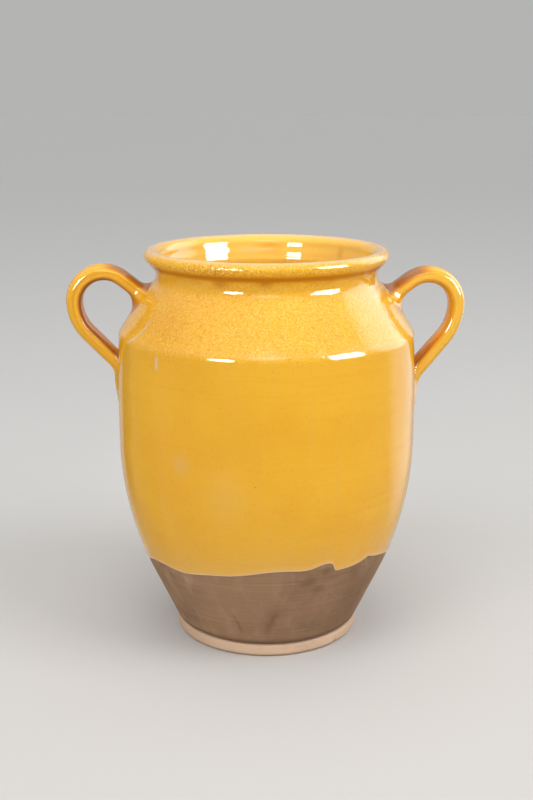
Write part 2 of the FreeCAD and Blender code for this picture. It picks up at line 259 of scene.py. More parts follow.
class Shader:
    """The node tree of a material or of the world."""

    def __init__(self, owner):
        owner.use_nodes = True
        self.tree = owner.node_tree
        self.tree.nodes.clear()

    def node(self, kind, settings=None, sockets=None, output=0):
        """A node of any type: its settings first, then its sockets' values or links, then which output."""
        made = self.tree.nodes.new(kind)
        for key, value in (settings or {}).items():
            setattr(made, key, value)
        for key, value in (sockets or {}).items():
            if isinstance(value, Socket):
                self.tree.links.new(value.socket, made.inputs[key])
            elif hasattr(value, "__len__") and made.inputs[key].type == "RGBA":
                made.inputs[key].default_value = (*value[:3], 1.0)
            else:
                made.inputs[key].default_value = value
        return Socket(self, made.outputs[output]) if made.outputs else None

    def mix(self, factor, first, second):
        """A colour between two others."""
        return self.node("ShaderNodeMix", {"data_type": "RGBA"}, {0: factor, 6: first, 7: second}, 2)

    def layered(self, base, *layers):
        """A colour with others laid over it in turn, each with its factor."""
        for factor, shade in layers:
            base = self.mix(factor, base, shade)
        return base

    def place(self):
        """The point on the object, as a vector in metres."""
        return self.node("ShaderNodeTexCoord", output=3)

    def parts(self, vector):
        """X, Y and Z of a vector."""
        first = self.node("ShaderNodeSeparateXYZ", sockets={0: vector})
        return [Socket(self, output) for output in first.socket.node.outputs]

    def stretched(self, vector, across, up):
        """A vector with its level parts multiplied by one number and its upright part by another."""
        factors = (across, across, up)
        return self.node("ShaderNodeVectorMath", {"operation": "MULTIPLY"}, {0: vector, 1: factors})

    def noise(self, vector, scale, detail=2.0, rough=0.5, distortion=0.0):
        """Cloudy noise from 0 to 1, with scale waves to the metre."""
        sockets = {"Vector": vector, "Scale": scale, "Detail": detail, "Roughness": rough,
                   "Distortion": distortion}
        return self.node("ShaderNodeTexNoise", sockets=sockets)

    def specks(self, vector, scale, radius, kept):
        """Round spots of a radius in metres in a share of the cells of a net, scale cells to the metre."""
        sockets = {"Vector": vector, "Scale": scale}
        distance = self.node("ShaderNodeTexVoronoi", sockets=sockets)
        cell = Socket(self, distance.socket.node.outputs["Color"])
        chance = self.parts(cell)[0]
        reach = radius * scale
        return distance.above(reach, 0.55 * reach) * chance.above(1.0 - kept, 1.0 - kept + 0.01)

    def attribute(self, name):
        """A number that the mesh carries at its points."""
        return self.node("ShaderNodeAttribute", {"attribute_name": name}, output=2)

    def bump(self, height, distance):
        """A normal pushed by a height from 0 to 1 that stands for a distance in metres."""
        sockets = {"Height": height, "Distance": distance, "Strength": BUMP_STRENGTH}
        return self.node("ShaderNodeBump", sockets=sockets)

    def surface(self, sockets):
        """Ends the tree in one Principled shader."""
        shader = self.node("ShaderNodeBsdfPrincipled", sockets=sockets)
        self.node("ShaderNodeOutputMaterial", sockets={"Surface": shader})

    def glow(self, shade, strength):
        """Light of one colour from all round."""
        return self.node("ShaderNodeBackground", sockets={"Color": shade, "Strength": strength})

    def either(self, factor, first, second):
        """The first shader where the factor is 0 and the second where it is 1."""
        return self.node("ShaderNodeMixShader", sockets={0: factor, 1: first, 2: second})


def glaze_finish(finish, looks):
    """Honey glaze: glossy over clouded colour, amber in the hollows, thin and pale over the edges."""
    place = finish.place()
    pooled_and_shade = finish.attribute("pooled_and_shade")
    thinned_and_lit = finish.attribute("thinned_and_lit")
    pebbled = finish.attribute("pebbled")
    streaked_and_lit = finish.attribute("streaked_and_lit")

    clouds = finish.noise(place, 26.0, 3.0, 0.55)
    rings = finish.noise(finish.stretched(place, 9.0, 420.0), 1.0, 2.0, 0.6)
    runs = finish.noise(finish.stretched(place, 150.0, 7.0), 1.0, 2.0, 0.5)
    grain = finish.noise(place, 620.0, 2.0, 0.6)
    freckles = finish.noise(place, 900.0, 1.0, 0.5)
    mottles = finish.noise(place, 520.0, 2.0, 0.6)
    brown_specks = finish.specks(place, 95.0, 0.42 * MM, 0.08)
    pinholes = finish.specks(finish.stretched(place, 1.0, 0.9), 360.0, 0.44 * MM, 0.35)

    base = finish.layered(
        looks.honey,
        (clouds.above(0.38, 0.68) * 0.65, looks.deep_honey),
        (rings.above(0.50, 0.72) * 0.42, looks.deep_honey),
        (runs.above(0.55, 0.80) * 0.06, looks.thin_glaze),
        (grain.above(0.50, 0.66) * pebbled * 0.44, looks.amber),
        (freckles.above(0.50, 0.64) * pebbled * 0.75, looks.pale_honey),
        (mottles.above(0.48, 0.62) * pebbled.above(1.0, 1.8) * 0.50, looks.amber),
        # Pale honey where the streaks are negative: paler inside the mouth, and painted light on the right
        # handle
        (streaked_and_lit.above(-0.1, -1.0) * 0.50, looks.pale_honey),
        (streaked_and_lit.above(0.1, 1.0) * 0.60, looks.amber),
        # Thin glaze over the edges, also painted light in the throat and on the right handle; past 1 the bare
        # dip line and the painted highlights of the drip and the smeared clay
        (thinned_and_lit * (0.75 + 0.5 * grain), looks.thin_glaze),
        (thinned_and_lit.above(1.0, 2.0) * 0.8, looks.bare_edge),
        # Amber where the glaze pools, also painted shade under the lip and on the handles; past 1 a painted
        # brown shade
        (pooled_and_shade * (0.8 + 0.4 * grain), looks.amber),
        (pooled_and_shade.above(1.0, 1.8) * (0.7 + 0.5 * grain), looks.shade_brown),
        (pinholes * 0.50, looks.amber),
        (brown_specks * 0.75, looks.iron),
    )

    peel = finish.noise(place, 480.0, 1.0, 0.4)
    relief = peel * (0.04 + 0.96 * pebbled) + grain * pebbled * 0.25 - (brown_specks + pinholes) * 0.20
    relief = relief + rings * 0.06
    finish.surface({
        "Base Color": base,
        "Roughness": 0.05 + 0.03 * pebbled,
        "IOR": 1.55,
        "Normal": finish.bump(relief, 0.26 * MM),
    })


def slip_finish(finish, looks):
    """Brown slip wash: matt, brushed round the wheel and wiped downwards with a cloth."""
    place = finish.place()
    thick_and_shade = finish.attribute("thick_and_shade")
    rubbed = finish.attribute("rubbed")
    clouds = finish.noise(place, 30.0, 4.0, 0.6, 0.5)
    brushed = finish.noise(finish.stretched(place, 14.0, 620.0), 1.0, 3.0, 0.65)
    wiped = finish.noise(finish.stretched(place, 130.0, 13.0), 1.0, 2.0, 0.5)
    grain = finish.noise(place, 1300.0, 2.0, 0.6)
    crumbs = finish.noise(place, 420.0, 3.0, 0.7)

    base = finish.layered(
        looks.slip,
        (clouds.above(0.42, 0.72) * 0.45, looks.slip_dark),
        (wiped.above(0.45, 0.80) * 0.45, looks.slip_pale),
        (brushed.above(0.50, 0.74) * 0.36, looks.slip_pale),
        (brushed.above(0.48, 0.26) * 0.34, looks.slip_dark),
        (grain.above(0.55, 0.80) * 0.25, looks.slip_dark),
        # Dark where the wash lies thickly, and the painted shadow line in the groove
        ((thick_and_shade + 0.5 * (crumbs - 0.5)).above(0.0, 1.0) * 0.75, looks.slip_dark),
        (rubbed * (0.6 + 0.5 * grain), looks.slip_pale),
    )
    relief = brushed * 0.6 + grain * 0.4 + wiped * 0.3
    finish.surface({
        "Base Color": base,
        "Roughness": 0.74 + 0.14 * grain,
        "Specular IOR Level": 0.15,
        "Normal": finish.bump(relief, 0.10 * MM),
    })


def clay_finish(finish, looks):
    """Bare fired clay, cream and finely grained, greyer where it stands on the table."""
    place = finish.place()
    aside, _, up = finish.parts(place)
    clouds = finish.noise(place, 45.0, 3.0, 0.6)
    grain = finish.noise(place, 1300.0, 2.0, 0.6)
    turned = finish.noise(finish.stretched(place, 30.0, 700.0), 1.0, 2.0, 0.5)
    pits = finish.specks(place, 260.0, 0.35 * MM, 0.10)
    base = finish.layered(
        looks.clay,
        (clouds.above(0.40, 0.80) * 0.35, looks.clay_dark),
        (grain.above(0.55, 0.80) * 0.30, looks.clay_dark),
        (pits * 0.6, looks.clay_dark),
        # Painted shade: darker towards the table, and browner on the left side of the bead
        (up.above(3.2 * MM, 0.0) * 0.7, looks.clay_dark),
        (aside.above(-28.0 * MM, -60.0 * MM) * 0.30, looks.slip),
    )
    relief = grain * 0.5 + turned * 0.5 - pits
    finish.surface({
        "Base Color": base,
        "Roughness": 0.85,
        "Specular IOR Level": 0.12,
        "Normal": finish.bump(relief, 0.10 * MM),
    })


def finish_of(slot):
    """The material of a slot, made once."""
    makers = {"honey_glaze": glaze_finish, "brown_slip": slip_finish, "bare_clay": clay_finish}
    name = slot + "_finish"
    made = bpy.data.materials.get(name)
    if made is None:
        made = bpy.data.materials.new(name)
        makers[slot](Shader(made), bpy.context.scene.finishes)
    return made


def arc(centre, radius, start, end, steps):
    """Points (out, up) of a round between two angles in radians about its centre."""
    angles = np.linspace(start, end, steps + 1)
    return [(centre[0] + radius * math.cos(angle), centre[1] + radius * math.sin(angle)) for angle in angles]


def finely(points, step):
    """The same line with a point at least every step."""
    dense = [points[0]]
    for start, end in zip(points, points[1:]):
        gap = math.dist(start, end)
        count = max(1, math.ceil(gap / step))
        dense += [(start[0] + (end[0] - start[0]) * k / count, start[1] + (end[1] - start[1]) * k / count)
                  for k in range(1, count + 1)]
    return dense


DOME_STEPS = 16


def domed(foot, top, rise):
    """Points between two places of a face that swells outwards in the middle."""
    run = math.dist(foot, top)
    out, up = top[0] - foot[0], top[1] - foot[1]
    points = []
    for k in range(1, DOME_STEPS):
        part = k / DOME_STEPS
        swell = 4 * rise * part * (1 - part) / run
        points.append((foot[0] + out * part + up * swell, foot[1] + up * part - out * swell))
    return points


def shoulder_centre(thrown):
    """Middle of the shoulder's round edge."""
    wall = thrown.belly_radius - 2 * thrown.waver - thrown.shoulder_inset
    return wall - thrown.shoulder_edge, thrown.height - thrown.shoulder_drop


def neck_centre(thrown):
    """Middle of the hollow of the neck."""
    return thrown.neck_radius + thrown.neck_round, thrown.height - thrown.neck_drop


def lip_centre(thrown):
    """Middle of the rolled lip."""
    return thrown.crest_radius, thrown.height - thrown.lip_round


def belly_centre(thrown):
    """Middle of the belly's long curve."""
    return thrown.belly_radius - 2 * thrown.waver - thrown.belly_curve, thrown.belly_height


def outside_line(thrown):
    """The outside (out, up), from the groove above the foot to the crest of the lip."""
    centre = belly_centre(thrown)
    belly = arc(centre, thrown.belly_curve, -thrown.lower_slope, 0.0, 60)
    groove_top = thrown.foot_height + thrown.groove_height
    foot = (belly[0][0] - (belly[0][1] - groove_top) * math.tan(thrown.lower_slope), groove_top)
    centre = shoulder_centre(thrown)
    edge = arc(centre, thrown.shoulder_edge, 0.0, thrown.shoulder_slope, 16)
    neck = arc(neck_centre(thrown), thrown.neck_round, math.pi + thrown.neck_slope,
               math.pi - thrown.lip_under, 24)
    line = [foot]
    line += belly
    line.append((belly[-1][0], centre[1] - thrown.taper_length))
    line += edge + domed(edge[-1], neck[0], thrown.shoulder_dome) + neck
    line += arc(lip_centre(thrown), thrown.lip_round, -thrown.lip_under, math.pi / 2, 30)
    return line


# The ring in the flare fades out this far from its middle, in rings
MOUTH_RING_FADE = 0.75


def mouth_line(thrown):
    """The flare of the mouth (out, up), from the crest of the lip down to the throat."""
    roll = (thrown.crest_radius, thrown.height - thrown.lip_inner_round)
    flare = (thrown.neck_radius - thrown.wall + thrown.mouth_round, neck_centre(thrown)[1])
    apart = (roll[0] - flare[0], roll[1] - flare[1])
    tighter = thrown.lip_inner_round - thrown.mouth_round
    lean = math.atan2(*apart) - math.asin(tighter / math.hypot(*apart))
    line = arc(roll, thrown.lip_inner_round, math.pi / 2, math.pi - lean, 24)
    line += arc(flare, thrown.mouth_round, math.pi - lean, math.pi, 10)
    ringed = []
    for out, up in finely(line, 0.6 * MM):
        past = (up - thrown.height + thrown.mouth_ring_drop) / thrown.mouth_ring_height
        ring = thrown.mouth_ring * math.sin(TURN * past) * math.exp(-(past / MOUTH_RING_FADE) ** 4)
        ringed.append((out + ring, up))
    return ringed


def inside_line(thrown):
    """The inside (out, up), from the crest of the lip down to the middle of the floor."""
    edge = shoulder_centre(thrown)
    neck = neck_centre(thrown)
    curve = thrown.belly_curve - thrown.belly_wall
    belly = arc(belly_centre(thrown), curve, 0.0, -thrown.lower_slope, 40)
    corner_up = thrown.floor_top + thrown.floor_corner
    corner_out = belly[-1][0] - (belly[-1][1] - corner_up) * math.tan(thrown.lower_slope)
    corner = (corner_out - thrown.floor_corner / math.cos(thrown.lower_slope), corner_up)
    line = mouth_line(thrown)
    line += arc(neck, thrown.neck_round + thrown.wall, math.pi, math.pi + thrown.neck_slope, 14)[1:]
    line += arc(edge, thrown.shoulder_edge - thrown.wall, thrown.shoulder_slope, 0.0, 8)
    line += belly
    line += arc(corner, thrown.floor_corner, -thrown.lower_slope, -math.pi / 2, 14)
    line.append((0.0, thrown.floor_top))
    return line


def line_normals(line):
    """Unit normals on the right of a line, looking along it."""
    points = np.array(line)
    ahead = np.gradient(points, axis=0)
    ahead /= np.maximum(np.linalg.norm(ahead, axis=1), 1e-12)[:, None]
    return np.stack([ahead[:, 1], -ahead[:, 0]], axis=1)


# Slow wavers of the wall: share, lobes round the pot, where they start, and lean in radians to the metre
WAVERS = ((0.6, 2, 0.7, 9.0), (0.4, 3, -1.1, -14.0))
# A throwing ring's climb in a radian, its waves (radians to the metre, start), and the fine waves' share
RING_CLIMB = 0.5 * MM
RING_WAVES = ((830.0, 0.0), (97.0, 0.8), (1310.0, 2.0))
FINE_RINGS = 0.6


def wavering(angles, ups, thrown):
    """How far the thrown wall stands off a true round: slow waver and throwing rings."""
    slow = sum(share * np.cos(count * angles + start + ups * lean) for share, count, start, lean in WAVERS)
    climb = ups + RING_CLIMB * angles
    coarse, swell, fine = (np.sin(climb * waves + start) for waves, start in RING_WAVES)
    return thrown.waver * slow + thrown.ring_depth * (coarse * swell + FINE_RINGS * fine)


def smooth(low, high, value):
    """A smooth step from 0 at low to 1 at high; low may be the larger."""
    part = np.clip((value - low) / (high - low), 0.0, 1.0)
    return part * part * (3 - 2 * part)


def degrees_past(angles, heading):
    """Degrees round from a heading to each angle, from -180 to 180."""
    return (np.degrees(angles) - heading + 180.0) % 360.0 - 180.0


def band(ups, height, reach):
    """1 at a height and fading over a reach above and below it."""
    return np.exp(-((ups - height) / reach) ** 2)


def mark(angles, ups, heading, up, width, height):
    """1 at a place on the turned wall, fading over a width in degrees and a height in millimetres."""
    across = degrees_past(angles, heading) / width
    return np.exp(-across ** 2 - ((ups - up * MM) / (height * MM)) ** 2)


def marks(angles, ups, table):
    """Marks added up. Each has its strength first, then its heading, height, width and reach up and down."""
    return sum(strength * mark(angles, ups, *place) for strength, *place in table)


# The radius, in millimetres, at which a degree round the pot is measured along a stroke
STROKE_RADIUS = 76.0


def stroke(angles, ups, start, end, width):
    """1 along a line on the wall between two places (heading, up in millimetres), fading over its width."""
    per_degree = math.radians(1.0) * STROKE_RADIUS
    across = degrees_past(angles, start[0]) * per_degree
    run = ((end[0] - start[0]) * per_degree, end[1] - start[1])
    climb = ups / MM - start[1]
    part = np.clip((across * run[0] + climb * run[1]) / (run[0] ** 2 + run[1] ** 2), 0.0, 1.0)
    return np.exp(-((across - part * run[0]) ** 2 + (climb - part * run[1]) ** 2) / width ** 2)


def strokes(angles, ups, table):
    """Strokes added up. Each has its strength first, then its two ends and its width."""
    return sum(strength * stroke(angles, ups, *line) for strength, *line in table)


# Rises and falls of the dip line: heading and width in degrees, height in millimetres
FIRST_DIP = ((-87.0, 15.0, 4.6), (-67.0, 7.0, 6.2))
SLOW_LOBES = ((-130.0, 10.0, -2.2), (-162.0, 7.0, -3.5), (-18.0, 14.0, -3.5),
              (60.0, 12.0, 3.0), (110.0, 18.0, -2.0), (150.0, 9.0, 2.5))
# The step where the first dip ends, and the second dip's crest with its reach on either side, in degrees
STEP_WIDTH = 0.45
CREST_HEADING = -45.7
CREST_HEIGHT = 4.9 * MM
CREST_REACHES = (5.0, 9.0)


def lobes(angles, table):
    """Lobes of a line that goes round the pot, added up."""
    return sum(height * MM * np.exp(-(degrees_past(angles, heading) / width) ** 2)
               for heading, width, height in table)


def dip_line(angles, glaze):
    """Height of the glaze's lower edge round the pot, left from two dips into the bucket."""
    # The first dip's edge climbs to the front and ends in a step, where the second dip's crest starts
    first = lobes(angles, FIRST_DIP) / (1.0 + np.exp(degrees_past(angles, glaze.step_heading) / STEP_WIDTH))
    past_crest = degrees_past(angles, CREST_HEADING)
    second = CREST_HEIGHT * np.exp(-np.abs(past_crest) / np.where(past_crest < 0.0, *CREST_REACHES))
    tilt = glaze.dip_tilt * np.cos(angles - glaze.dip_turn)
    return glaze.dip_height + tilt + first + second + lobes(angles, SLOW_LOBES)


def added(name, data):
    """A new object in the scene."""
    made = bpy.data.objects.new(name, data)
    bpy.context.scene.collection.objects.link(made)
    return made


def surface_object(name, points, faces, carried=None):
    """A smooth mesh piece that rides on the pot, with the numbers that its points carry."""
    mesh = bpy.data.meshes.new(name)
    mesh.from_pydata([tuple(point) for point in points], [], faces)
    mesh.polygons.foreach_set("use_smooth", [True] * len(mesh.polygons))
    for key, values in (carried or {}).items():
        attribute = mesh.attributes.new(key, "FLOAT", "POINT")
        attribute.data.foreach_set("value", np.asarray(values, dtype=np.float32).ravel())
    builder = bmesh.new()
    builder.from_mesh(mesh)
    bmesh.ops.recalc_face_normals(builder, faces=builder.faces)
    builder.to_mesh(mesh)
    builder.free()
    piece = added(name, mesh)
    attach(piece, BODY)
    return piece


def finished(piece, slot):
    """Gives a piece its record slot and its material."""
    piece.data.materials.append(finish_of(slot))
    return piece


def turned_faces(rows, columns, joined=False):
    """Quads between rows of columns points that go once round. Joined, the last row meets the first."""
    faces = []
    for row in range(rows if joined else rows - 1):
        below = row * columns
        above = (row + 1) % rows * columns
        for column in range(columns):
            following = (column + 1) % columns
            faces.append((below + column, below + following, above + following, above + column))
    return faces


def capped_faces(rows, columns):
    """The same, closed at both ends by fans to two more points."""
    faces = turned_faces(rows, columns)
    first = rows * columns
    top = first - columns
    for column in range(columns):
        following = (column + 1) % columns
        faces.append((first, following, column))
        faces.append((first + 1, top + column, top + following))
    return faces


COLUMNS = 480
# Points nearer to the axis than this lie on it
ON_AXIS = 1e-6


def round_angles():
    """Angles of the columns round the pot."""
    return np.arange(COLUMNS) * TURN / COLUMNS


def turned_points(outs, ups, angles):
    """Points of a turned grid: outs and ups hold a row for each ring and a column for each angle."""
    return np.stack([outs * np.cos(angles), outs * np.sin(angles), ups], axis=-1).reshape(-1, 3)


def round_rows(line):
    """The outs and the ups of a line (out, up), with a row for each point and a column for each angle."""
    line = np.asarray(line)
    return np.repeat(line[:, :1], COLUMNS, axis=1), np.repeat(line[:, 1:], COLUMNS, axis=1)


# The hollow of the foot: how far its side leans in, and the bevel (out, up) at its edge
RECESS_DRAFT = 1.5 * MM
RECESS_BEVEL = (0.6 * MM, 0.35 * MM)
# The floor of the groove, hidden behind the wash
GROOVE_BACK = 1.2 * MM
GROOVE_FLOOR = 0.5 * MM
# How deep the clay lies under the face of the coat, as a share of the coat
CLAY_UNDER = 0.8
# The nick in the foot bead: heading in degrees, height in millimetres, width in degrees and reach up and down
NICK = (-44.0, 1.0, 1.1, 1.8)
NICK_DEPTH = 1.3 * MM


def foot_line(thrown):
    """The foot (out, up), from the middle of its hollow round the bead to the floor of the groove."""
    hollow = [(0.0, thrown.recess_depth), (thrown.recess_radius - RECESS_DRAFT, thrown.recess_depth),
              (thrown.recess_radius, RECESS_BEVEL[1]), (thrown.recess_radius + RECESS_BEVEL[0], 0.0)]
    bead = arc((thrown.foot_radius - thrown.foot_edge, thrown.foot_edge), thrown.foot_edge,
               -math.pi / 2, 0.0, 10)
    bead += arc((thrown.foot_radius - thrown.bead_round, thrown.foot_height - thrown.bead_round),
                thrown.bead_round, 0.0, math.pi / 2, 8)
    groove_out = thrown.foot_radius - thrown.groove_depth - GROOVE_BACK
    bead += [(groove_out, thrown.foot_height), (groove_out, thrown.foot_height + GROOVE_FLOOR)]
    return finely(hollow, 4 * MM) + bead


def under_coat(line, depth):
    """A line (out, up) moved square to itself: to its left, or to its right where the depth is negative."""
    return [(out - depth * n[0], up - depth * n[1]) for (out, up), n in zip(line, line_normals(line))]


class CONFITPOT_OT_clay(bpy.types.Operator):
    """Make the thrown clay body with its foot bead and hollow foot"""
    bl_idname = "confitpot.clay"
    bl_label = "Clay body"

    def execute(self, context):
        thrown = context.scene.thrown
        depth = context.scene.glaze.coat * CLAY_UNDER
        angles = round_angles()

        # Every third point is enough under the coat
        wall = under_coat(outside_line(thrown), depth)[::3]
        inner = under_coat(inside_line(thrown)[:0:-1], -depth)
        inner = [(0.0, inner[0][1])] + inner[3::3]
        outs, ups = round_rows(foot_line(thrown) + wall + inner[::-1])
        outs = outs + np.where(outs > ON_AXIS, wavering(angles, ups, thrown), 0.0)
        outs = outs - NICK_DEPTH * mark(angles, ups, *NICK) * (outs > thrown.recess_radius)
        ends = [(0.0, 0.0, ups[0, 0]), (0.0, 0.0, ups[-1, 0])]
        points = np.vstack([turned_points(outs[1:-1], ups[1:-1], angles), ends])
        piece = surface_object("clay_body", points, capped_faces(len(outs) - 2, COLUMNS))
        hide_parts("pot_body")
        finished(piece, "bare_clay")
        return {"FINISHED"}


# How deep the wash's face and its hidden back lie under the wall, and how far up it goes under the glaze
WASH_UNDER = 0.30 * MM
WASH_BACK = 1.4 * MM
WASH_ABOVE_DIP = 22 * MM
# Its first points (in from the groove's radius, up from the bead) in the groove
WASH_START = ((0.9 * MM, 0.35 * MM), (-0.1 * MM, 0.75 * MM))
# Where the wash lies thickly or is darker towards the right front, and where it is rubbed off
THICK_MARKS = (
    (0.75, -74.5, 61.0, 3.2, 3.6),
    (0.75, -67.5, 67.5, 3.6, 3.0),
    (0.60, -69.5, 54.0, 3.4, 4.6),
    (0.25, -143.0, 52.0, 13.0, 9.0),
    (0.35, -52.0, 62.0, 5.0, 7.0),
    # These two broad marks darken the wash towards the right front
    (0.30, -58.0, 34.0, 22.0, 30.0),
    (0.62, -38.0, 42.0, 20.0, 30.0),
)
THICK_STROKES = (
    (0.30, (-80.0, 54.0), (-92.0, 28.0), 5.0),
    (0.35, (-88.4, 34.3), (-93.1, 17.6), 2.6),
    (0.48, (-109.5, 33.9), (-108.0, 27.2), 0.9),
    (0.48, (-108.0, 27.2), (-106.5, 19.5), 0.9),
)
RUBBED_MARKS = ((0.7, -130.7, 55.7, 1.3, 2.4), (0.22, -126.0, 46.0, 15.0, 20.0))
RUBBED_STROKES = ((0.5, (-46.1, 69.8), (-43.5, 62.3), 0.9),)


class CONFITPOT_OT_slip(bpy.types.Operator):
    """Make the brown slip wash between the foot bead and the dip line"""
    bl_idname = "confitpot.slip"
    bl_label = "Slip wash"

    def execute(self, context):
        thrown = context.scene.thrown
        glaze = context.scene.glaze
        angles = round_angles()
        line = np.array(finely(outside_line(thrown), 1.6 * MM))
        line = line[line[:, 1] < glaze.dip_height + WASH_ABOVE_DIP]
        normals = line_normals(line)
        groove_out = thrown.foot_radius - thrown.groove_depth
        start = [(groove_out - inward, thrown.foot_height + up) for inward, up in WASH_START]
        back = (line - WASH_BACK * normals)[::-3]
        outs, ups = round_rows(np.vstack([start, line - WASH_UNDER * normals, back]))
        outs = outs + wavering(angles, ups, thrown)
        points = turned_points(outs, ups, angles)
        piece = surface_object("slip_wash", points, turned_faces(len(outs), COLUMNS, True),
                               self.looks(thrown, ups, angles))
        finished(piece, "brown_slip")
        return {"FINISHED"}

    def looks(self, thrown, ups, angles):
        """Where the wash lies thick, and where it is rubbed off."""
        groove = thrown.foot_height + thrown.groove_height + 0.6 * MM
        # The first band is a painted shadow line in the groove above the bead; the second darkens the wash
        # low down
        thick_and_shade = 1.5 * band(ups, groove, 1.1 * MM) + 0.20 * band(ups, 22.0 * MM, 9.0 * MM)
        thick_and_shade = thick_and_shade + marks(angles, ups, THICK_MARKS) + strokes(angles, ups, THICK_STROKES)
        rubbed = marks(angles, ups, RUBBED_MARKS) + strokes(angles, ups, RUBBED_STROKES)
        return {"thick_and_shade": thick_and_shade, "rubbed": rubbed}


# The glaze's rows slide with the dip line up to this far over the average line, in this many steps,
# closer together near the line, and leave this gap to the fixed rows
SLIDING_REACH = 25 * MM
SLIDING_ROWS = 34
SLIDING_CROWD = 1.35
SLIDING_GAP = 1.0 * MM
# The coat's hidden back: its depth in coats, its rows in the sliding part, and the edge's underside
BACK_DEPTH = 1.2
BACK_ROWS = np.array([0.75, 0.5, 0.25, 0.06])
EDGE_DROP = 0.25 * MM
EDGE_TUCK = 0.1 * MM
# The drip under the shoulder's edge: heading, half width, from where to where it fades in and out, its bead
DRIP_HEADING = -135.8
DRIP_WIDTH = 0.5
DRIP_FADES = ((195.0 * MM, 196.5 * MM), (204.0 * MM, 201.0 * MM))
DRIP_BEAD = (0.8, DRIP_HEADING, 195.6, 0.6, 1.0)
DRIP_RELIEF = 0.25 * MM
# How much paler the drip is painted: a painted highlight along the run
DRIP_GLINT = 2.0
DRIP_INSET = 3.0 * MM
# Painted highlights: fine pale lines where the clay smeared out from the roots ends, as lines through
# (heading, height in millimetres)
SMEAR_GLINTS = (
    ((-156.2, 205.9), (-152.5, 209.7), (-150.0, 213.3), (-148.5, 216.6), (-147.6, 220.7)),
    ((-28.1, 228.3), (-30.2, 224.0), (-31.0, 219.4), (-29.6, 214.8)),
)
GLINT_WIDTH = 0.7
GLINT_STRENGTH = 1.6
# Marks of the glaze, outside and inside
POOLED_OUTSIDE = (
    (0.65, -114.7, 246.4, 4.2, 3.0),
    (0.60, -92.7, 247.6, 3.4, 2.4),
    (0.25, -62.0, 248.2, 6.0, 1.8),
    (0.32, -135.0, 222.0, 22.0, 15.0),
)
POOLED_INSIDE = (
    (0.28, 86.0, 251.5, 6.5, 3.4),
    (0.42, 39.0, 250.0, 2.2, 4.5),
    (0.10, 120.0, 246.0, 8.0, 2.5),
)
THINNED_OUTSIDE = ((0.30, -124.7, 138.0, 3.2, 6.0), (0.15, -107.2, 120.0, 7.0, 17.0))
THINNED_INSIDE = ((0.4, 98.0, 250.0, 6.0, 2.6),)
PEBBLED_OUTSIDE = ((0.9, -116.0, 255.0, 16.0, 4.5),)
STREAK_GAP = (86.0, 251.5, 8.0, 3.6)


